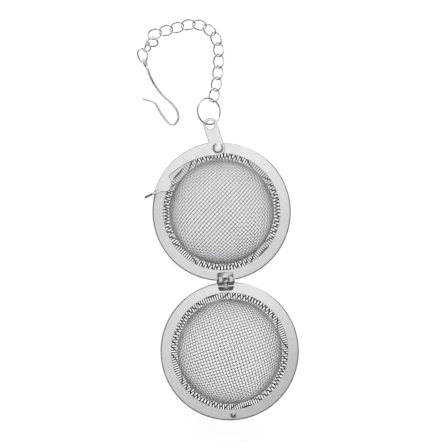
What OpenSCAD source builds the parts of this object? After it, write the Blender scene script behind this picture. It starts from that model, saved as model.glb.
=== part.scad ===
// Mesh-ball tea infuser, opened flat, with its chain and cup hook. Millimetres, +Z up.
// Both wire domes stand up, the mating faces of the two rims look down, and +Y runs from
// the hinge to the latch. The origin is on the table, under the middle of the whole object.

/* [Rims] */
// Outside diameter of each rim
rim_d = 50; // [48:0.5:52]
// Width of the flat rim band
rim_band = 4; // [3.8:0.1:4.4]
// Thickness of the folded rim sheet
rim_sheet = 0.3; // [0.25:0.05:0.35]
// Opening of the rim's fold, which clamps the mesh
rim_fold = 0.4; // [0.35:0.05:0.5]
// Gap between the two rims at the hinge
rim_gap = 0.3; // [0.2:0.05:0.5]

/* [Domes] */
// Outside radius of the dome's wall
dome_r = 18.9; // [18:0.1:19.2]
// Height of the dome above the flat of the mesh
dome_h = 17.5; // [15:0.5:18]
// Radius of the bend from the flat of the mesh to the wall
dome_bend = 1.2; // [0.8:0.1:1.6]

/* [Hinge] */
// Height of the hinge line above the table
hinge_z = 1.62; // [1.6:0.01:1.8]
// Width across the three knuckles
hinge_w = 5.8; // [5.4:0.1:6.2]
// Width of the middle knuckle
knuckle_w = 1.7; // [1.5:0.1:1.9]
// Outside radius of the knuckles
knuckle_r = 1.58; // [1.45:0.01:1.6]
// Thickness of the leaves
leaf_t = 0.4; // [0.35:0.05:0.45]
// Reach of each leaf over its rim
leaf_reach = 3.3; // [3:0.1:3.6]
// Radius of the hinge pin
pin_r = 0.8; // [0.7:0.05:0.85]

/* [Latch] */
// Thickness of the arm's sheet
arm_t = 0.5; // [0.4:0.05:0.5]
// Radius of the arm's boss round the rivet
boss_r = 2.6; // [2.4:0.1:2.8]
// Half the width of the arm's tab
tab_half = 2.5; // [2.4:0.1:2.7]
// Distance from the rivet to the tab's hole
tab_reach = 8.8; // [8.6:0.1:9.4]
// Angle of the tab from +Y, to the left
tab_lean = 15; // [12:1:18]
// Radius of the tab's hole
tab_hole_r = 1.6; // [1.6:0.05:1.8]
// Radius of the rivet's domed head
rivet_head_r = 2; // [1.8:0.1:2.2]
// Radius of the rivet's shank
shank_r = 1; // [0.9:0.05:1.1]

/* [Chain and hook] */
// Outside length of a chain link
link_l = 5.7; // [5.6:0.1:5.8]
// Outside width of a chain link
link_w = 4.2; // [4.1:0.1:4.3]
// Wire diameter of the chain links
link_wire = 0.7; // [0.6:0.05:0.7]
// Twist of a link: how far its four flanks rise and fall
link_rise = 0.65; // [0.6:0.05:0.7]
// Distance from link to link
link_pitch = 4.14; // [4.1:0.02:4.18]
// Wire diameter of the jump ring
ring_wire = 0.8; // [0.7:0.05:0.8]
// Wire diameter of the hook
hook_wire = 0.95; // [0.8:0.05:0.95]

/* [Hidden] */
$fn = 96;

// The parts are drawn about the hinge line, and home moves them to the middle of the footprint.
home = [1.25, -22.59, 0];

// Heights, from the hinge line up
face_gap = 0.03;
face_z = hinge_z + face_gap;
rim_t = 2 * rim_sheet + rim_fold;
rim_top = face_z + rim_t;
rim_r = rim_d / 2;
inner_r = rim_r - rim_band;
rim_y = rim_r + rim_gap / 2;
mesh_z = face_z + rim_sheet;
mesh_edge_r = rim_r - 1.7;
swing_gap = 0.17;
side_gap = 0.1;
pin_fit = 0.05;
arm_gap = 0.05;
arm_z = rim_top + arm_gap;

// The rivet stands in the middle of the band, opposite the hinge.
band_mid = rim_r - rim_band / 2;
rivet_y = rim_y + band_mid;
rivet_fit = 0.06;
tail_r = 1.2;
tail_h = 0.3;
head_h = 0.75;
dimple_r = 0.95;
dimple_h = 0.3;

// The arm: an arc about a point below the rim's centre cuts the crescent's inner edge.
arm_r = rim_r + 0.3;
inner_arc_at = [-1.3, -4.8];
inner_arc_r = 25.1;
arm_end_y = 8.4;
pad_at = [-21.2, 11.4];
pad_r = 3.8;
fin_at = [-22.5, 8.6];
fin_turn = 201.5;
fin_t = 0.8;
fin_reach = 5.2;
fin_clear = 0.2;
lip_z = hinge_z - face_gap - rim_t - 0.08;

tab_hole_at = tab_reach * [-sin(tab_lean), cos(tab_lean)] + [0, rivet_y];

// The jump ring leans on the tab: its left side is up and its right side is on the table.
ring_r = 4.75;
ring_at = [-2.5, 61.5, arm_z + arm_t / 2];
ring_turn = 6;
ring_tilt = 32;
ring_split = 16;

function unit(v) = v / norm(v);

// Where round the jump ring the chain hangs, and the way the first link leaves it
ring_hook_angle = 57;
chain_start = ring_at + turned([0, ring_tilt, ring_turn],
                               ring_r * [cos(ring_hook_angle), sin(ring_hook_angle), 0]);

// Headings of the links from the jump ring round to the heap
link_headings = [72, 79.5, 80.5, 84, 89.5, 110, 138, 163.5, 187.5, 193.5, 191];
first_pitch = 6.6;
// The last four links lie in a heap, the second of them slack: place, then roll, pitch
// and heading
heap_links = [
    [[-20.34, 90.49, 1.63], [-9.4, -2.7, 197.1]],
    [[-21.34, 87.81, 2.27], [0.1, -41.5, 352.2]],
    [[-23.56, 86.08, 2.37], [-53.1, 47.9, 272.1]],
    [[-25.12, 83.01, 1.6], [13.3, 3.6, 277.2]]];

// The hook's eye stands nearly on edge, and its wire then runs down to the table and round.
eye_at = [-24.33, 80.04, 2.02];
eye_r = 1.55;
eye_tilt = 103.7;
eye_heading = 286.4;
hook_points = [
    [-23.8, 78.35, 1.95], [-22.8, 75.2, 1.6], [-21.4, 72.1, 1.0], [-18.8, 68.4, 0.6],
    [-15.8, 65.4, 0.49], [-13.9, 62.4, 0.49], [-13.7, 59.5, 0.49], [-15.4, 57.6, 0.49],
    [-17.8, 59.0, 0.49], [-20.0, 62.3, 0.49], [-22.0, 66.0, 0.49], [-25.8, 67.4, 0.49]];

// Turns a point by roll, pitch and heading, in that order
function rolled(a, p) = [p.x, p.y * cos(a) - p.z * sin(a), p.y * sin(a) + p.z * cos(a)];
function pitched(a, p) = [p.x * cos(a) + p.z * sin(a), p.y, p.z * cos(a) - p.x * sin(a)];
function headed(a, p) = [p.x * cos(a) - p.y * sin(a), p.x * sin(a) + p.y * cos(a), p.z];
function turned(a, p) = headed(a[2], pitched(a[1], rolled(a[0], p)));

// Sweeps a round wire along points; the section's flat reference is the table
module wire(path, d, closed, sides = 8) {
    last = len(path) - 1;
    ways = [for (i = [0 : last])
        unit(path[closed ? (i + 1) % (last + 1) : min(i + 1, last)]
             - path[closed ? (i + last) % (last + 1) : max(i - 1, 0)])];
    rings = [for (i = [0 : last])
        let (side = unit(cross(ways[i], [0, 0, 1])), up = cross(side, ways[i]))
        for (k = [0 : sides - 1])
            let (a = 360 * k / sides)
            path[i] + d / 2 * (cos(a) * side + sin(a) * up)];
    spans = closed ? last : last - 1;
    faces = [for (i = [0 : spans], k = [0 : sides - 1])
        let (a = i * sides + k, b = i * sides + (k + 1) % sides,
             c = ((i + 1) % (last + 1)) * sides + (k + 1) % sides,
             e = ((i + 1) % (last + 1)) * sides + k)
        each [[a, b, c], [a, c, e]]];
    caps = closed ? [] : [
        [for (k = [sides - 1 : -1 : 0]) k],
        [for (k = [0 : sides - 1]) last * sides + k]];
    polyhedron(rings, concat(faces, caps));
}

// A smooth curve through points, with steps between each two
function curve(p, steps) = [
    for (i = [0 : len(p) - 2], s = [0 : steps - (i < len(p) - 2 ? 1 : 0)])
        let (t = s / steps, a = p[max(i - 1, 0)], b = p[i], c = p[i + 1],
             e = p[min(i + 2, len(p) - 1)])
        0.5 * (2 * b + (c - a) * t + (2 * a - 5 * b + 4 * c - e) * t * t
               + (3 * b - a - 3 * c + e) * t * t * t)];

// ---- the two halves ----

// The rim: a band folded back on itself round its outer edge, with the fold open inwards
module rim(centre_y) {
    difference() {
        translate([0, centre_y, face_z])
            rotate_extrude()
                difference() {
                    union() {
                        translate([inner_r, 0])
                            square([rim_band - rim_t / 2, rim_t]);
                        translate([rim_r - rim_t / 2, rim_t / 2])
                            circle(rim_t / 2, $fn = 32);
                    }
                    translate([inner_r - 1, rim_sheet])
                        square([mesh_edge_r + 0.1 - inner_r + 1, rim_fold]);
                }
        hinge_room();
    }
}

// The space that the knuckles turn in
module hinge_room() {
    translate([-hinge_w / 2 - 0.35, 0, hinge_z])
        rotate([0, 90, 0])
            cylinder(r = knuckle_r + swing_gap, h = hinge_w + 0.7);
}

// The dome with its flat edge, as one skin
module dome(centre_y, hole_y) {
    bend_x = dome_r + dome_bend;
    rise = dome_h - dome_bend - rim_fold;
    difference() {
        translate([0, centre_y, mesh_z])
            rotate_extrude()
                union() {
                    translate([bend_x, 0])
                        square([mesh_edge_r - bend_x, rim_fold]);
                    difference() {
                        translate([dome_r - rim_fold, 0])
                            square([dome_bend + rim_fold, dome_bend + rim_fold]);
                        translate([bend_x, dome_bend + rim_fold])
                            circle(dome_bend, $fn = 64);
                        translate([dome_r - rim_fold, 0])
                            difference() {
                                square(dome_bend + rim_fold);
                                translate([dome_bend + rim_fold, dome_bend + rim_fold])
                                    circle(dome_bend + rim_fold, $fn = 64);
                            }
                    }
                    translate([0, dome_bend + rim_fold])
                        dome_band(dome_r, rise);
                }
        translate([0, hole_y, 0])
            cylinder(r = tail_r + 0.3, h = rim_top);
    }
}

// A quarter of an oval skin, from the wall at radius r to the crown at height h
module dome_band(r, h) {
    steps = 24;
    polygon(concat(
        [for (i = [0 : steps]) let (a = 90 * i / steps) [r * cos(a), h * sin(a)]],
        [for (i = [steps : -1 : 0])
            let (a = 90 * i / steps) [(r - rim_fold) * cos(a), (h - rim_fold) * sin(a)]]));
}

module latch_half_rim() {
    color("silver")
        difference() {
            rim(rim_y);
            translate([0, rivet_y, 0])
                cylinder(r = shank_r, h = arm_z);
        }
}

module latch_half_mesh() {
    color("gray")
        dome(rim_y, rivet_y);
}

module plain_half_rim() {
    cap_r = (dimple_r * dimple_r + dimple_h * dimple_h) / (2 * dimple_h);
    color("silver") {
        difference() {
            rim(-rim_y);
            translate([0, -rivet_y, face_z - 1])
                cylinder(r = tail_r + 0.15, h = 1 + rim_sheet);
        }
        intersection() {
            translate([0, -rivet_y, rim_top + dimple_h - cap_r])
                sphere(cap_r, $fn = 64);
            translate([0, -rivet_y, rim_top])
                cylinder(r = dimple_r, h = dimple_h);
        }
    }
}

module plain_half_mesh() {
    color("gray")
        dome(-rim_y, -rivet_y);
}

// ---- the hinge ----

// One knuckle, from x0 to x1, with its strap up over the rim on the side given
module knuckle(x0, x1, side) {
    difference() {
        union() {
            translate([x0, 0, hinge_z])
                rotate([0, 90, 0])
                    cylinder(r = knuckle_r, h = x1 - x0);
            translate([x0, side > 0 ? 0 : -knuckle_r - 0.5, rim_top])
                cube([x1 - x0, knuckle_r + 0.5, leaf_t]);
        }
        translate([x0 - 1, 0, hinge_z])
            rotate([0, 90, 0])
                cylinder(r = pin_r + pin_fit, h = x1 - x0 + 2);
    }
}

// The flat of a leaf on its rim, narrower at its far end by the taper
module leaf_flat(taper) {
    start = knuckle_r + swing_gap;
    translate([0, 0, rim_top])
        linear_extrude(leaf_t)
            polygon([
                [-hinge_w / 2, start], [hinge_w / 2, start],
                [hinge_w / 2 - taper, leaf_reach], [-hinge_w / 2 + taper, leaf_reach]]);
}

module latch_half_leaf() {
    color("silver") {
        leaf_flat(0.1);
        knuckle(-hinge_w / 2, -knuckle_w / 2 - side_gap, 1);
        knuckle(knuckle_w / 2 + side_gap, hinge_w / 2, 1);
    }
}

module plain_half_leaf() {
    color("silver") {
        mirror([0, 1, 0])
            leaf_flat(0.5);
        knuckle(-knuckle_w / 2, knuckle_w / 2, -1);
    }
}

module hinge_pin() {
    color("gainsboro")
        translate([-hinge_w / 2 - 0.2, 0, hinge_z])
            rotate([0, 90, 0])
                cylinder(r = pin_r, h = hinge_w + 0.4);
}

// ---- the latch ----

// The arm's outline: crescent, end pad, boss round the rivet, and tab
module arm_outline() {
    translate([0, rim_y]) {
        intersection() {
            difference() {
                circle(arm_r, $fn = 180);
                translate(inner_arc_at)
                    circle(inner_arc_r, $fn = 180);
            }
            translate([-arm_r, arm_end_y])
                square([arm_r, arm_r]);
        }
        intersection() {
            circle(arm_r, $fn = 180);
            translate(pad_at)
                circle(pad_r);
            translate([-arm_r, arm_end_y])
                square([arm_r, arm_r]);
        }
    }
    translate([0, rivet_y])
        circle(boss_r);
    translate(tab_hole_at)
        circle(tab_half);
    translate([0, rivet_y])
        rotate(tab_lean)
            translate([-tab_half, 0])
                square([2 * tab_half, tab_reach]);
}

// The fin stands on edge and hooks round the rims' edges, with a finger grip outside them
module latch_fin() {
    difference() {
        translate([fin_at.x, rim_y + fin_at.y, 0])
            rotate([0, 0, fin_turn])
                rotate([90, 0, 0])
                    translate([0, 0, -fin_t / 2])
                        linear_extrude(fin_t)
                            polygon([
                                [-1.4, arm_z + arm_t], [2.2, arm_z + arm_t],
                                [fin_reach, arm_z], [fin_reach, arm_z - 1.1], [2.8, 0],
                                [-0.3, 0], [-0.3, lip_z], [-1.4, lip_z + 0.3]]);
        translate([0, rim_y, lip_z])
            cylinder(r = rim_r + fin_clear, h = arm_z - lip_z);
    }
}

module latch_arm() {
    color("silver")
        difference() {
            union() {
                translate([0, 0, arm_z])
                    linear_extrude(arm_t)
                        arm_outline();
                latch_fin();
            }
            translate([0, rivet_y, arm_z - 1])
                cylinder(r = shank_r + rivet_fit, h = arm_t + 2);
            translate([tab_hole_at.x, tab_hole_at.y, arm_z - 1])
                cylinder(r = tab_hole_r, h = arm_t + 2);
        }
}

module latch_rivet() {
    head_z = arm_z + arm_t + arm_gap;
    cap_r = (rivet_head_r * rivet_head_r + head_h * head_h) / (2 * head_h);
    color("gainsboro")
        translate([0, rivet_y, 0]) {
            translate([0, 0, face_z - tail_h])
                cylinder(r = tail_r, h = tail_h);
            translate([0, 0, face_z])
                cylinder(r = shank_r, h = head_z - face_z);
            intersection() {
                translate([0, 0, head_z + head_h - cap_r])
                    sphere(cap_r, $fn = 96);
                translate([0, 0, head_z])
                    cylinder(r = rivet_head_r, h = head_h);
            }
        }
}

// ---- jump ring, chain and hook ----

module jump_ring() {
    color("gainsboro")
        translate(ring_at)
            rotate([0, ring_tilt, ring_turn])
                rotate([0, 0, ring_split / 2 - 60])
                    rotate_extrude(angle = 360 - ring_split, $fn = 96)
                        translate([ring_r, 0])
                            circle(d = ring_wire, $fn = 24);
}

// The middle line of a twisted link, which lies along X
function link_point(t) = [
    (link_l - link_wire) / 2 * cos(t), (link_w - link_wire) / 2 * sin(t),
    link_rise * sin(2 * t)];

// Where the link at a place in the chain starts, worked along the headings
function link_dir(n) = pitched(n == 0 ? first_pitch : 0, [1, 0, 0]);
function link_way(n) = headed(link_headings[n], link_dir(n));
function link_start(n) = n == 0
    ? chain_start - (link_l - link_wire - link_pitch) / 2 * link_way(0)
    : link_start(n - 1) + link_pitch * link_way(n - 1);
function link_middle(n) = n < len(link_headings)
    ? link_start(n) + link_pitch / 2 * link_way(n)
    : heap_links[n - len(link_headings)][0];
function link_turn(n) = n < len(link_headings)
    ? [0, n == 0 ? first_pitch : 0, link_headings[n]]
    : heap_links[n - len(link_headings)][1];

module chain_link(n) {
    rings = 24;
    color("gainsboro")
        wire([for (i = [0 : rings - 1])
                  link_middle(n) + turned(link_turn(n), link_point(360 * i / rings))],
             link_wire, true);
}

module hook() {
    color("gainsboro") {
        wire(curve(hook_points, 5), hook_wire, false, 12);
        translate(eye_at)
            rotate([0, 0, eye_heading])
                rotate([eye_tilt, 0, 0])
                    rotate_extrude($fn = 64)
                        translate([eye_r, 0])
                            circle(d = hook_wire, $fn = 24);
    }
}

translate(home) {
    latch_half_rim();
    latch_half_mesh();
    plain_half_rim();
    plain_half_mesh();
    latch_half_leaf();
    plain_half_leaf();
    hinge_pin();
    latch_arm();
    latch_rivet();
    jump_ring();
    for (n = [0 : 14])
        chain_link(n);
    hook();
}
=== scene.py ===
"""Mesh-ball tea infuser, opened flat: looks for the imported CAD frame. Metres, row frame."""
import math

import bmesh
import bpy
import numpy as np
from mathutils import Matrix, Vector, noise


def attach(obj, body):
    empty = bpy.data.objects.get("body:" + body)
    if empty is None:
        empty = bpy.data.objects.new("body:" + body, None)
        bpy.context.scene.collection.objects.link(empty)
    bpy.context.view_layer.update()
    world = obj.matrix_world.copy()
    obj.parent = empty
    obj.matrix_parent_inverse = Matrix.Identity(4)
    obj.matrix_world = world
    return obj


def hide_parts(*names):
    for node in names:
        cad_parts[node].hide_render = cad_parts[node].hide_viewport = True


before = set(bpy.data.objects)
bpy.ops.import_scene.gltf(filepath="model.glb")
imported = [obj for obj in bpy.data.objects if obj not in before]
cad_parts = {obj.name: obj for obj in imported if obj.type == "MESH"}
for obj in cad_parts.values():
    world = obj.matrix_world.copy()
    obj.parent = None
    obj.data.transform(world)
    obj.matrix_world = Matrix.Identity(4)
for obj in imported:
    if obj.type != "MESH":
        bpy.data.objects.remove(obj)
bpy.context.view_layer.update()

MM = 0.001
HOME = np.array([1.25, -22.59, 0.0])      # the hinge line's middle, in the row frame, mm
HINGE_Z = 1.62
FACE_Z = 1.65
RIM_T = 1.0                               # the folded band: two sheets and the mesh edge
SHEET_T = 0.3
RIM_TOP = FACE_Z + RIM_T
RIM_R = 25.0
BAND = 4.0
RIM_Y = 25.15
MESH_Z = FACE_Z + 0.3
RIVET_Y = 48.15
ARM_Z = RIM_TOP + 0.05
ARM_T = 0.5


# ---------------------------------------------------------------- mesh helpers
def add_mesh(name, verts, faces, body, replaces, material):
    """A mesh piece from points in mm about the hinge line, riding on a body."""
    mesh = bpy.data.meshes.new(name)
    mesh.from_pydata(((np.asarray(verts, float) + HOME) * MM).tolist(), [], faces)
    mesh.validate()
    mesh.update()
    mesh.shade_smooth()
    mesh.materials.append(material)
    piece = bpy.data.objects.new(name, mesh)
    bpy.context.scene.collection.objects.link(piece)
    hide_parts(replaces)
    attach(piece, body)
    return piece


def grid_faces(rows, cols, close_rows, close_cols, start=0):
    """Quads over a grid of rows x cols points, closed in either way."""
    quads = []
    for i in range(rows if close_rows else rows - 1):
        a, b = start + i * cols, start + ((i + 1) % rows) * cols
        for k in range(cols if close_cols else cols - 1):
            m = (k + 1) % cols
            quads.append((a + k, a + m, b + m, b + k))
    return quads


def unit(v):
    v = np.asarray(v, float)
    return v / np.maximum(np.linalg.norm(v, axis=-1, keepdims=True), 1e-12)


def tube(path, radius, sides, round_ends=True):
    """Points and faces of an open round wire along a path; its ends may be rounded over."""
    path = np.asarray(path, float)
    ways = unit(np.gradient(path, axis=0))
    # carry the section's side vector along the path, so that it never twists suddenly
    sides_at = np.zeros_like(path)
    side = unit(np.cross(ways[0], (0, 0, 1)))
    for i, way in enumerate(ways):
        side = unit(side - way * np.dot(side, way))
        sides_at[i] = side
    radii = np.full(len(path), float(radius))
    if round_ends:
        turns = np.radians([30, 60, 88])
        bulge = radius * 0.45 * np.sin(turns)[:, None]
        shrink = radius * np.cos(turns * 0.97)
        path = np.vstack([(path[0] - bulge * ways[0])[::-1], path, path[-1] + bulge * ways[-1]])
        ways = np.vstack([[ways[0]] * 3, ways, [ways[-1]] * 3])
        sides_at = np.vstack([[sides_at[0]] * 3, sides_at, [sides_at[-1]] * 3])
        radii = np.concatenate([shrink[::-1], radii, shrink])
    ups = np.cross(sides_at, ways)
    angles = 2 * math.pi * np.arange(sides) / sides
    rings = (path[:, None] + radii[:, None, None] * (
        np.cos(angles)[None, :, None] * sides_at[:, None]
        + np.sin(angles)[None, :, None] * ups[:, None]))
    count = len(path)
    faces = grid_faces(count, sides, False, True)
    faces.append(tuple(range(sides - 1, -1, -1)))
    faces.append(tuple((count - 1) * sides + k for k in range(sides)))
    return rings.reshape(-1, 3), faces


def catmull(points, steps):
    """A smooth curve through points."""
    p = np.asarray(points, float)
    out = []
    for i in range(len(p) - 1):
        a, b, c, d = p[max(i - 1, 0)], p[i], p[i + 1], p[min(i + 2, len(p) - 1)]
        for s in range(steps):
            t = s / steps
            out.append(0.5 * (2 * b + (c - a) * t + (2 * a - 5 * b + 4 * c - d) * t * t
                              + (3 * b - a - 3 * c + d) * t ** 3))
    out.append(p[-1])
    return np.array(out)


def turn(roll, pitch, heading):
    a, b, c = np.radians([roll, pitch, heading])
    rx = np.array([[1, 0, 0], [0, math.cos(a), -math.sin(a)], [0, math.sin(a), math.cos(a)]])
    ry = np.array([[math.cos(b), 0, math.sin(b)], [0, 1, 0], [-math.sin(b), 0, math.cos(b)]])
    rz = np.array([[math.cos(c), -math.sin(c), 0], [math.sin(c), math.cos(c), 0], [0, 0, 1]])
    return rz @ ry @ rx


def lathe(profile, segments, centre):
    """A surface of revolution about a vertical line, open at both ends of the profile."""
    angles = 2 * math.pi * np.arange(segments) / segments
    r, z = np.asarray(profile, float).T
    verts = np.stack([np.outer(np.cos(angles), r) + centre[0],
                      np.outer(np.sin(angles), r) + centre[1],
                      np.tile(z, (segments, 1))], axis=2).reshape(-1, 3)
    return verts, grid_faces(segments, len(profile), True, False)


# ---------------------------------------------------------------- materials
def node(tree, kind, place, **values):
    """A shader node; each value sets the node's own property or else an input socket."""
    n = tree.nodes.new(kind)
    n.location = place
    for key, value in values.items():
        if hasattr(n, key):
            setattr(n, key, value)
        else:
            n.inputs[key.replace("_", " ")].default_value = value
    return n


def steel(name, colour, rough, grain=6000, bump=0.12, cloud=220,
          dark=0.82, rough_range=0.14, foot=None):
    """Steel with a fine grain, cloudy polish and faint scratches.

    foot is a centre in metres, two radii about it and a share of the colour: painted shade,
    the steel darkening from its full colour at the first radius to that share of it at the
    second.
    """
    mat = bpy.data.materials.new(name)
    mat.use_nodes = True
    tree = mat.node_tree
    bsdf = tree.nodes["Principled BSDF"]
    bsdf.inputs["Metallic"].default_value = 1.0
    link = tree.links.new
    coord = node(tree, "ShaderNodeTexCoord", (-1400, 0))
    fine = node(tree, "ShaderNodeTexNoise", (-950, 250), Scale=grain, Detail=3.0, Roughness=0.6)
    link(coord.outputs["Object"], fine.inputs["Vector"])
    clouds = node(tree, "ShaderNodeTexNoise", (-950, 0), Scale=cloud, Detail=4.0, Roughness=0.55)
    link(coord.outputs["Object"], clouds.inputs["Vector"])
    lines = node(tree, "ShaderNodeTexNoise", (-950, -250), Scale=1.0, Detail=2.0)
    skew = node(tree, "ShaderNodeMapping", (-1200, -250))
    skew.inputs["Rotation"].default_value = (0, 0, 0.6)
    skew.inputs["Scale"].default_value = (260, 9000, 260)
    link(coord.outputs["Object"], skew.inputs["Vector"])
    link(skew.outputs["Vector"], lines.inputs["Vector"])
    # colour: steel a little darker in the clouds
    tint = node(tree, "ShaderNodeValToRGB", (-650, 250))
    tint.color_ramp.elements[0].position = 0.32
    tint.color_ramp.elements[0].color = tuple(c * dark for c in colour) + (1,)
    tint.color_ramp.elements[1].position = 0.62
    tint.color_ramp.elements[1].color = tuple(colour) + (1,)
    link(clouds.outputs["Fac"], tint.inputs["Fac"])
    colour_out = tint.outputs["Color"]
    # painted shade: the colour darkens towards the foot's outer radius, for the shade where the
    # mesh runs into the rim's fold
    if foot:
        middle, near, far, shade = foot
        flat = node(tree, "ShaderNodeVectorMath", (-950, 550), operation="MULTIPLY")
        flat.inputs[1].default_value = (1, 1, 0)
        link(coord.outputs["Object"], flat.inputs[0])
        away = node(tree, "ShaderNodeVectorMath", (-780, 550), operation="DISTANCE")
        away.inputs[1].default_value = (middle[0], middle[1], 0)
        link(flat.outputs["Vector"], away.inputs[0])
        fade = node(tree, "ShaderNodeMapRange", (-600, 550))
        fade.inputs["From Min"].default_value = near
        fade.inputs["From Max"].default_value = far
        fade.inputs["To Min"].default_value = 1.0
        fade.inputs["To Max"].default_value = shade
        link(away.outputs["Value"], fade.inputs["Value"])
        fold_shade = node(tree, "ShaderNodeVectorMath", (-400, 450), operation="SCALE")
        link(colour_out, fold_shade.inputs[0])
        link(fade.outputs["Result"], fold_shade.inputs["Scale"])
        colour_out = fold_shade.outputs["Vector"]
    link(colour_out, bsdf.inputs["Base Color"])
    # roughness: polish varies with the clouds and the grain
    blend = node(tree, "ShaderNodeMath", (-650, 0), operation="ADD")
    link(clouds.outputs["Fac"], blend.inputs[0])
    link(fine.outputs["Fac"], blend.inputs[1])
    gloss = node(tree, "ShaderNodeMapRange", (-430, 0))
    gloss.inputs["From Min"].default_value = 0.6
    gloss.inputs["From Max"].default_value = 1.4
    gloss.inputs["To Min"].default_value = rough - rough_range / 2
    gloss.inputs["To Max"].default_value = rough + rough_range / 2
    link(blend.outputs[0], gloss.inputs["Value"])
    link(gloss.outputs["Result"], bsdf.inputs["Roughness"])
    # bump: grain and a few scratches
    mix = node(tree, "ShaderNodeMath", (-650, -250), operation="ADD")
    link(fine.outputs["Fac"], mix.inputs[0])
    link(lines.outputs["Fac"], mix.inputs[1])
    relief = node(tree, "ShaderNodeBump", (-430, -250))
    relief.inputs["Strength"].default_value = bump
    relief.inputs["Distance"].default_value = 0.00002
    link(mix.outputs[0], relief.inputs["Height"])
    link(relief.outputs["Normal"], bsdf.inputs["Normal"])
    return mat


SHEET = steel("sheet_steel", (0.74, 0.74, 0.75), 0.30)
ARM = steel("arm_steel", (0.74, 0.74, 0.75), 0.30, grain=7000)
# painted shade: a near-black steel for the arm's bevelled edges, standing in for their dark
# outline
EDGE_SHADE = steel("edge_shade_steel", (0.07, 0.07, 0.075), 0.35, grain=7000)
# painted shade: the hinge leaves take a darker steel than the rim's sheet, for the hinge's dark
# bands
LEAF = steel("leaf_steel", (0.56, 0.56, 0.57), 0.26, grain=8000, cloud=500)
# the mesh's colour carries painted shade in its flat edge, where it runs into the rim's fold
MESH = {side + "_half": steel("mesh_steel_" + side, (0.62, 0.62, 0.63), 0.24, grain=9000,
                              cloud=400, dark=0.75, bump=0.03,
                              foot=((HOME[0] * MM, (HOME[1] + y) * MM), 0.0188, 0.0200, 0.03))
        for side, y in (("latch", RIM_Y), ("plain", -RIM_Y))}
WIRE = steel("wire_steel", (0.84, 0.84, 0.85), 0.22, grain=3000, cloud=300, dark=0.94, bump=0.0,
             rough_range=0.06)
RIVET = steel("rivet_steel", (0.90, 0.90, 0.91), 0.34, grain=8000, cloud=900)


# ---------------------------------------------------------------- the rims
def rim_piece(name, side, body, dimple):
    """A folded band with a rounded outer hem, an open inner fold, and a notch at the hinge."""
    segments, lip, hem_r = 900, 0.12, RIM_T / 2
    inner = RIM_R - BAND
    fold_low, fold_high, fold_r = SHEET_T, RIM_T - SHEET_T, 23.4
    top = [(r, RIM_T) for r in np.linspace(inner + lip, RIM_R - hem_r, 30)]
    hem = [(RIM_R - hem_r + hem_r * math.cos(a), hem_r + hem_r * math.sin(a))
           for a in np.linspace(math.pi / 2, -math.pi / 2, 15)[1:-1]]
    under = [(r, 0.0) for r in np.linspace(RIM_R - hem_r, inner + lip, 30)]

    def lip_arc(z):
        return [(inner + lip - lip * math.cos(a), z + SHEET_T / 2 * (1 + math.sin(a)))
                for a in np.linspace(-math.pi / 2, math.pi / 2, 7)[1:-1]]
    low_lip = lip_arc(0.0)
    fold = [(inner + lip, fold_low), (inner + 1.0, fold_low), (fold_r, fold_low),
            (fold_r, fold_high), (inner + 1.0, fold_high), (inner + lip, fold_high)]
    profile = np.array(top + hem + under + low_lip + fold + lip_arc(fold_high))
    r0, z0 = profile[:, 0], profile[:, 1]
    angles = 2 * math.pi * np.arange(segments) / segments
    verts = np.zeros((segments, len(profile), 3))
    for i, a in enumerate(angles):
        x, y = math.cos(a), math.sin(a)
        away = -side * y                          # 1 towards the hinge
        edge = RIM_R
        if away > 0.9:
            half = abs(x) * 24.0
            cut = (RIM_Y - 1.76) / away
            t = min(max((half - 3.0) / 0.5, 0.0), 1.0)
            edge = cut + (RIM_R - cut) * t * t * (3 - 2 * t)
        r = np.where(r0 > 22.5, 22.5 + (r0 - 22.5) * (edge - 22.5) / 2.5, r0)
        verts[i, :, 0], verts[i, :, 1], verts[i, :, 2] = r * x, r * y, z0
        wave = 0.012 * noise.noise((x * 3.1, y * 3.1, side * 4.0 + 9.0))
        ripple = 0.006 * noise.noise((x * 14, y * 14, side * 3.0))
        verts[i, :, 2] *= 1 - 0.17 * np.clip((r - inner) / BAND, 0, 1)   # falls to the hem
        verts[i, :, 2] += (wave + ripple) * (0.4 + 0.6 * (r - inner) / BAND)
    flat = verts.reshape(-1, 3)
    upper = np.tile(z0 > 0.95, segments)
    if dimple:
        away = np.hypot(flat[:, 0], flat[:, 1] - dimple[1])
        t = np.clip(away / 1.15, 0, 1)
        flat[:, 2] += np.where(upper, 0.22 * (1 - t * t) ** 2 * (1 + 0.6 * t * t), 0)
        # a pocket in the lower sheet takes the tail of the other half's rivet
        lower = np.tile(z0 < 0.01, segments)
        t = np.clip((away - 1.32) / 0.16, 0, 1)
        flat[:, 2] += np.where(lower, 0.28 * (1 - t * t * (3 - 2 * t)), 0)
    flat += [0, side * RIM_Y, FACE_Z]
    faces = grid_faces(segments, len(profile), True, True)
    return add_mesh(name, flat, faces, body, name[:-5] + "_rim", SHEET)


# ---------------------------------------------------------------- the woven domes
DOME_R, DOME_RISE = 18.66, 15.62          # the oval dome, at the middle of the wires
WALL_FOOT = 1.6                           # where its wall starts to bend out
BEND_AT, BEND_R = 20.1, 1.44
MESH_EDGE_R = 23.25                       # the flat edge ends in the rim's fold


def dome_profile():
    """The dome's middle surface by arc length from the crown: radius, height, normal."""
    a = np.radians(np.linspace(90, 0, 500))
    crown = np.stack([DOME_R * np.cos(a), WALL_FOOT + DOME_RISE * np.sin(a)], 1)
    b = np.radians(np.linspace(180, 270, 60)[1:])
    bend = np.stack([BEND_AT + BEND_R * np.cos(b), WALL_FOOT + BEND_R * np.sin(b)], 1)
    flat = np.stack([np.linspace(BEND_AT, MESH_EDGE_R, 40)[1:], np.full(39, bend[-1, 1])], 1)
    curve = np.vstack([crown, bend, flat])
    steps = np.linalg.norm(np.diff(curve, axis=0), axis=1)
    length = np.concatenate([[0], np.cumsum(steps)])
    way = unit(np.gradient(curve, axis=0))
    normal = np.stack([-way[:, 1], way[:, 0]], 1)
    return length, curve, normal


PITCH = 1.13
WIRE_R = 0.16
STRETCH = 0.55                            # how much the press thins the weave past the wall


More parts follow.
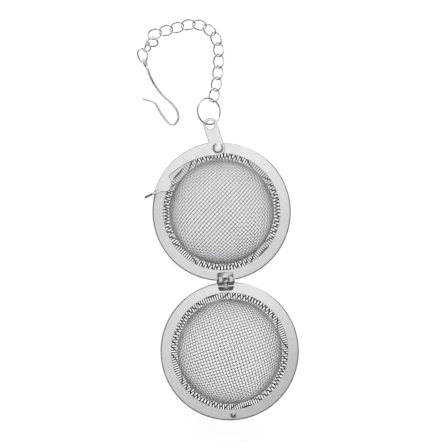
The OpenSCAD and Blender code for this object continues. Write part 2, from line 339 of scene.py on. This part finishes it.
def weave(name, side, angle, body, seed):
    """Two families of crimped wires over the dome, as two pieces."""
    length, curve, normal = dome_profile()
    # the press stretches the mesh round the bend: how far along the flat mesh each place was
    t = np.clip((length - 25.5) / 2.5, 0, 1)
    rate = 1 - STRETCH * t * t * (3 - 2 * t)
    flat_length = np.concatenate([[0], np.cumsum((rate[1:] + rate[:-1]) / 2 * np.diff(length))])
    reach = flat_length[-1]
    count = int(reach / PITCH)
    step = PITCH / 4
    sides = 6
    c, s = math.cos(math.radians(angle)), math.sin(math.radians(angle))

    def place(p, q, lift):
        """Plane point (p, q) of the flat weave, lifted off the surface, on the dome."""
        u, v = c * p - s * q, s * p + c * q
        rho = np.hypot(u, v)
        theta = np.arctan2(v, u)
        # the pressed mesh is never quite even
        theta = theta + 0.010 * np.sin(3 * theta + seed) + 0.006 * np.sin(5 * theta + 2 * seed)
        rho = np.minimum(rho * (1 + 0.006 * np.sin(2 * theta + seed)), reach)
        r = np.interp(rho, flat_length, curve[:, 0])
        z = np.interp(rho, flat_length, curve[:, 1])
        nr = np.interp(rho, flat_length, normal[:, 0])
        nz = np.interp(rho, flat_length, normal[:, 1])
        crush = np.clip((23.6 - r) / 2.2, 0.35, 1)     # the fold squeezes the crimp flat
        h = lift * crush
        at = np.stack([np.cos(theta) * (r + h * nr), np.sin(theta) * (r + h * nr),
                       z + h * nz], 1)
        up = np.stack([np.cos(theta) * nr, np.sin(theta) * nr, nz], 1)
        return at, up

    for family in (0, 1):
        all_verts, all_faces, start = [], [], 0
        for i in range(-count, count + 1):
            fixed = i * PITCH
            half = math.sqrt(max(reach ** 2 * 0.985 - fixed ** 2, 0))
            if half < 1.5:
                continue
            n = int(2 * half / step)
            run = (np.arange(n + 1) - n / 2) * step
            sign = 1 if family == 0 else -1
            lift = sign * WIRE_R * 0.98 * np.cos(math.pi * (run / PITCH + i))
            if family == 0:
                at, up = place(np.full_like(run, fixed), run, lift)
            else:
                at, up = place(run, np.full_like(run, fixed), lift)
            way = unit(np.gradient(at, axis=0))
            out = unit(np.cross(way, up))
            top = np.cross(out, way)
            ang = 2 * math.pi * np.arange(sides) / sides
            # pressed wider in the flat edge
            wide = 1 + 0.3 * np.clip((np.hypot(at[:, 0], at[:, 1]) - 18.6) / 0.8, 0, 1)
            rings = at[:, None] + WIRE_R * (np.cos(ang)[None, :, None] * out[:, None]
                                            * wide[:, None, None]
                                            + np.sin(ang)[None, :, None] * top[:, None])
            all_verts.append(rings.reshape(-1, 3))
            all_faces += grid_faces(len(at), sides, False, True, start)
            all_faces.append(tuple(start + k for k in range(sides - 1, -1, -1)))
            all_faces.append(tuple(start + (len(at) - 1) * sides + k for k in range(sides)))
            start += len(at) * sides
        verts = np.vstack(all_verts)
        # in the fold, the wires stay above the pocket for the rivet's tail
        near = np.hypot(verts[:, 0], verts[:, 1] - side * (RIVET_Y - RIM_Y)) < 1.8
        verts[near, 2] = np.maximum(verts[near, 2], 0.0)
        verts += [0, side * RIM_Y, MESH_Z]
        kind = "warp" if family == 0 else "weft"
        add_mesh(f"{name}_{kind}", verts, all_faces, body, name, MESH[body])


rim_piece("latch_half_band", 1, "latch_half", None)
rim_piece("plain_half_band", -1, "plain_half", (0, -23.0))
weave("latch_half_mesh", 1, 45, "latch_half", 0.7)
weave("plain_half_mesh", -1, 15, "plain_half", 2.1)

# ---------------------------------------------------------------- chain and jump ring
LINK_L, LINK_W, LINK_D = 5.7, 4.2, 0.70   # a link's length, width and wire in the frame
RISE, STEP = 0.65, 4.14                   # a link's twist, and the way from link to link
LINK_WIRE = LINK_D / 2 - 0.02             # wire radii a little thinner than in the frame,
RING_WIRE = 0.365                         # so that nothing touches at a joint's limit
EYE_WIRE = 0.455
HOOK_WIRE = 0.475
EYE_R = 1.55
RING_AT = np.array([-2.5, 61.5, ARM_Z + ARM_T / 2])
RING_TURN = turn(0, 32, 6)
RING_R = 4.75
FIRST_PITCH = 6.6


def ring_point(a):
    return RING_AT + RING_TURN @ (RING_R * np.array([math.cos(math.radians(a)),
                                                     math.sin(math.radians(a)), 0]))


HEADINGS = [72, 79.5, 80.5, 84, 89.5, 110, 138, 163.5, 187.5, 193.5, 191]
HEAP = [([-20.34, 90.49, 1.63], (-9.4, -2.7, 197.1)),
        ([-21.34, 87.81, 2.27], (0.1, -41.5, 352.2)),
        ([-23.56, 86.08, 2.37], (-53.1, 47.9, 272.1)),
        ([-25.12, 83.01, 1.6], (13.3, 3.6, 277.2))]
links = []
at = ring_point(57) - (LINK_L - LINK_D - STEP) / 2 * (turn(0, FIRST_PITCH, 72) @ [1, 0, 0])
for n, heading in enumerate(HEADINGS):
    way = turn(0, FIRST_PITCH if n == 0 else 0, heading)
    links.append((at + STEP / 2 * (way @ [1, 0, 0]), way))
    at = at + STEP * (way @ [1, 0, 0])
links += [(np.array(p), turn(*t)) for p, t in HEAP]


def link_piece(number, middle, way):
    """One twisted link, bent from a single wire, with its butt joint on one flank."""
    gap = math.radians(1.6)
    joint = math.radians(90 if number % 2 else 270)
    t = np.linspace(joint + gap, joint + 2 * math.pi - gap, 72)
    path = np.stack([(LINK_L - LINK_D) / 2 * np.cos(t), (LINK_W - LINK_D) / 2 * np.sin(t),
                     RISE * np.sin(2 * t)], 1)
    verts, faces = tube(path @ way.T + middle, LINK_WIRE, 14, round_ends=False)
    add_mesh(f"link_{number:02d}", verts, faces, f"chain_link_{number:02d}",
             f"chain_link_{number:02d}", WIRE)


for n, (middle, way) in enumerate(links):
    link_piece(n + 1, middle, way)

a = np.radians(np.linspace(-52, 292, 120))
ring_path = RING_AT + (RING_R * np.stack([np.cos(a), np.sin(a), 0 * a], 1)) @ RING_TURN.T
verts, faces = tube(ring_path, RING_WIRE, 16, round_ends=False)
add_mesh("open_ring", verts, faces, "jump_ring", "jump_ring", WIRE)

# ---------------------------------------------------------------- the hook
HOOK = [[-23.8, 78.35, 1.95], [-22.8, 75.2, 1.6], [-21.4, 72.1, 1.0], [-18.8, 68.4, 0.6],
        [-15.8, 65.4, 0.49], [-13.9, 62.4, 0.49], [-13.7, 59.5, 0.49], [-15.4, 57.6, 0.49],
        [-17.8, 59.0, 0.49], [-20.0, 62.3, 0.49], [-22.0, 66.0, 0.49], [-25.8, 67.4, 0.49]]
eye = turn(103.7, 0, 0)
head = turn(0, 0, 286.4)
eye_at = np.array([-24.33, 80.04, 2.02])
a = np.radians(np.linspace(0, 352, 60))
eye_path = (EYE_R * np.stack([np.cos(a), np.sin(a), 0 * a], 1)) @ (head @ eye).T + eye_at
shaft = catmull(HOOK, 10)[::-1]
verts, faces = tube(shaft, HOOK_WIRE, 16)
v2, f2 = tube(eye_path, EYE_WIRE, 16)
faces = faces + [tuple(len(verts) + k for k in f) for f in f2]
add_mesh("cup_hook", np.vstack([verts, v2]), faces, "hook", "hook", WIRE)

# ---------------------------------------------------------------- the hinge
HINGE_W, KNUCKLE_W, KNUCKLE_R = 5.8, 1.7, 1.58
LEAF_T, LEAF_REACH = 0.4, 3.3
SWING_GAP = 0.19                          # from a knuckle to the other half's leaf
PIN_R, PIN_OVER = 1.08, 0.12              # the pin, and how far it stands out at each end


def strap(x0, x1, side):
    """A strap of sheet curled round the pin, with rounded edges."""
    curl_r = KNUCKLE_R - LEAF_T / 2
    turns = np.radians(np.linspace(78, 338, 44))
    line = [(2.3, 1.225), (1.9, 1.225), (1.5, 1.23), (1.1, 1.25), (0.7, 1.29)]
    line += [(curl_r * math.cos(a), curl_r * math.sin(a)) for a in turns]
    line = np.array(line)
    way = unit(np.gradient(line, axis=0))
    out = np.stack([-way[:, 1], way[:, 0]], 1) * -1
    half, edge = LEAF_T / 2 - 0.005, 0.07
    # the section across the strap: a flat band with rounded edges
    ring = [(x0 + edge, half), (x1 - edge, half), (x1 - edge * 0.3, half - edge * 0.3),
            (x1, half - edge), (x1, edge - half), (x1 - edge * 0.3, edge * 0.3 - half),
            (x1 - edge, -half), (x0 + edge, -half), (x0 + edge * 0.3, edge * 0.3 - half),
            (x0, edge - half), (x0, half - edge), (x0 + edge * 0.3, half - edge * 0.3)]
    verts = []
    for (y, z), (oy, oz) in zip(line, out):
        verts += [(x, side * (y + h * oy), HINGE_Z + z + h * oz) for x, h in ring]
    n = len(ring)
    faces = grid_faces(len(line), n, False, True)
    faces.append(tuple(range(n)))
    faces.append(tuple((len(line) - 1) * n + k for k in range(n - 1, -1, -1)))
    if side < 0:
        faces = [f[::-1] for f in faces]
    return np.array(verts), faces


def plate(outline, z0, z1, edge):
    """A flat plate with its upper edge rounded over."""
    pts = np.array(outline, float)
    middle = pts.mean(0)
    inset = pts + unit(middle - pts) * edge
    rings = [np.c_[pts, np.full(len(pts), z0)], np.c_[pts, np.full(len(pts), z1 - edge)],
             np.c_[pts + unit(middle - pts) * edge * 0.3, np.full(len(pts), z1 - edge * 0.3)],
             np.c_[inset, np.full(len(pts), z1)]]
    n = len(pts)
    faces = grid_faces(4, n, False, True)
    faces.append(tuple(range(n - 1, -1, -1)))
    faces.append(tuple(3 * n + k for k in range(n)))
    return np.vstack(rings), faces


def leaf_piece(body, side, taper, spans):
    start = KNUCKLE_R + SWING_GAP
    w = HINGE_W / 2
    corner = 0.35
    outline = [(-w, start), (w, start), (w - taper * 0.75, LEAF_REACH - corner),
               (w - taper - 0.1, LEAF_REACH - 0.1), (w - taper - corner, LEAF_REACH),
               (-w + taper + corner, LEAF_REACH), (-w + taper + 0.1, LEAF_REACH - 0.1),
               (-w + taper * 0.75, LEAF_REACH - corner)]
    verts, faces = plate(outline, RIM_TOP, RIM_TOP + LEAF_T, 0.08)
    if side < 0:
        verts[:, 1] *= -1
        faces = [f[::-1] for f in faces]
    for x0, x1 in spans:
        v, f = strap(x0, x1, side)
        faces += [tuple(len(verts) + k for k in quad) for quad in f]
        verts = np.vstack([verts, v])
    piece = add_mesh(body + "_hinge_leaf", verts, faces, body,
                     body + "_leaf", LEAF)
    piece.data.set_sharp_from_angle(angle=math.radians(40))


gap = KNUCKLE_W / 2 + 0.1
leaf_piece("latch_half", 1, 0.1, ((-HINGE_W / 2, -gap), (gap, HINGE_W / 2)))
leaf_piece("plain_half", -1, 0.5, ((-KNUCKLE_W / 2, KNUCKLE_W / 2),))
pin_x = np.linspace(-HINGE_W / 2 - PIN_OVER, HINGE_W / 2 + PIN_OVER, 12)
pin = np.array([[x, 0, HINGE_Z] for x in pin_x])
verts, faces = tube(pin, PIN_R, 32)
add_mesh("pin", verts, faces, "latch_half", "hinge_pin", WIRE)

# ---------------------------------------------------------------- the latch
arm_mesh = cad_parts["latch_arm"].data.copy()
arm_mesh.name = "rim_latch"
arm = bpy.data.objects.new("rim_latch", arm_mesh)
bpy.context.scene.collection.objects.link(arm)
work = bmesh.new()
work.from_mesh(arm_mesh)
bmesh.ops.remove_doubles(work, verts=work.verts, dist=1e-7)
bmesh.ops.dissolve_limit(work, angle_limit=math.radians(0.6), verts=work.verts, edges=work.edges)
work.to_mesh(arm_mesh)
work.free()
arm_mesh.materials.clear()
arm_mesh.materials.append(ARM)
arm_mesh.materials.append(EDGE_SHADE)
bevel = arm.modifiers.new("edges", "BEVEL")
bevel.width = 0.00014
bevel.segments = 3
bevel.limit_method = "ANGLE"
bevel.angle_limit = math.radians(40)
bevel.use_clamp_overlap = False
bevel.material = 1                               # painted shade: the bevelled edges take a near-black steel for the dark outline along the arm
bpy.context.view_layer.update()
depsgraph = bpy.context.evaluated_depsgraph_get()
arm.data = bpy.data.meshes.new_from_object(arm.evaluated_get(depsgraph))
arm.modifiers.clear()
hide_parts("latch_arm")
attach(arm, "latch_arm")

# the rivet: a low pressed head with a rounded edge, its shank and its flattened tail
head_z = ARM_Z + ARM_T + 0.05
radius, rise, foot = 2.0, 0.75, 0.06
shank_r, tail_r = 1.0, 1.2
tail_z = FACE_Z - 0.3
shape = [(0.0, tail_z), (0.9, tail_z), (1.13, tail_z + 0.05), (tail_r, tail_z + 0.14),
         (tail_r, FACE_Z - 0.02), (shank_r, FACE_Z), (shank_r, head_z), (1.9, head_z),
         (radius, head_z + foot)]
shape += [(radius * c, head_z + foot + (rise - foot) * (0.8 * (1 - c ** 7) ** 0.5
                                                        + 0.2 * (1 - c * c)))
          for c in np.cos(np.radians(np.linspace(4, 90, 30)))]
verts, faces = lathe(shape, 72, (0, RIVET_Y))
rivet = add_mesh("rivet", verts, faces, "latch_half", "latch_rivet", RIVET)
work = bmesh.new()
work.from_mesh(rivet.data)
bmesh.ops.remove_doubles(work, verts=work.verts, dist=1e-6)
bmesh.ops.recalc_face_normals(work, faces=work.faces)
work.to_mesh(rivet.data)
work.free()
rivet.data.set_sharp_from_angle(angle=math.radians(50))

# ---------------------------------------------------------------- floor, light, camera
floor_mesh = bpy.data.meshes.new("floor")
floor_mesh.from_pydata([(-4, -4, 0), (4, -4, 0), (4, 4, 0), (-4, 4, 0)], [],
                       [(0, 1, 2, 3)])
floor = bpy.data.objects.new("floor", floor_mesh)
floor.location.z = -0.0001
bpy.context.scene.collection.objects.link(floor)
paint = bpy.data.materials.new("floor")
paint.use_nodes = True
bsdf = paint.node_tree.nodes["Principled BSDF"]
bsdf.inputs["Base Color"].default_value = (0.80, 0.80, 0.80, 1)
bsdf.inputs["Emission Color"].default_value = (1, 1, 1, 1)
bsdf.inputs["Emission Strength"].default_value = 0.72
bsdf.inputs["Roughness"].default_value = 0.9
bsdf.inputs["Specular IOR Level"].default_value = 0.1
floor_mesh.materials.append(paint)

world = bpy.data.worlds.new("studio")
bpy.context.scene.world = world
world.use_nodes = True
background = world.node_tree.nodes["Background"]
background.inputs["Color"].default_value = (0.9, 0.9, 0.9, 1)
background.inputs["Strength"].default_value = 0.12


def softbox(name, place, width, length, power):
    """A rectangular lamp facing the object, hidden from the camera."""
    lamp = bpy.data.lights.new(name, "AREA")
    lamp.shape = "RECTANGLE"
    lamp.size = width
    lamp.size_y = length
    lamp.energy = power
    lamp_object = bpy.data.objects.new(name, lamp)
    lamp_object.location = place
    lamp_object.rotation_euler = Vector(place).to_track_quat("Z", "Y").to_euler()
    lamp_object.visible_camera = False
    bpy.context.scene.collection.objects.link(lamp_object)


softbox("overhead", (0.15, 0.30, 0.95), 0.42, 1.4, 2.6)
softbox("north_panel", (0.0, 1.15, 0.55), 1.6, 0.8, 5.0)
softbox("east_panel", (1.3, 0.0, 0.3), 1.6, 0.6, 0.8)
softbox("west_panel", (-1.3, 0.0, 0.3), 1.6, 0.6, 0.8)

camera = bpy.data.cameras.new("camera")
sensor, distance, view_width = 36.0, 0.90, 0.1613
camera.sensor_width = sensor
camera.lens = sensor * distance / view_width
eye_object = bpy.data.objects.new("camera", camera)
eye_object.location = (0.00185, -0.00189, distance + 0.00265)
eye_object.rotation_euler = (0, 0, math.radians(-3.3))
bpy.context.scene.collection.objects.link(eye_object)
bpy.context.scene.camera = eye_object
bpy.context.scene.view_settings.view_transform = "Standard"
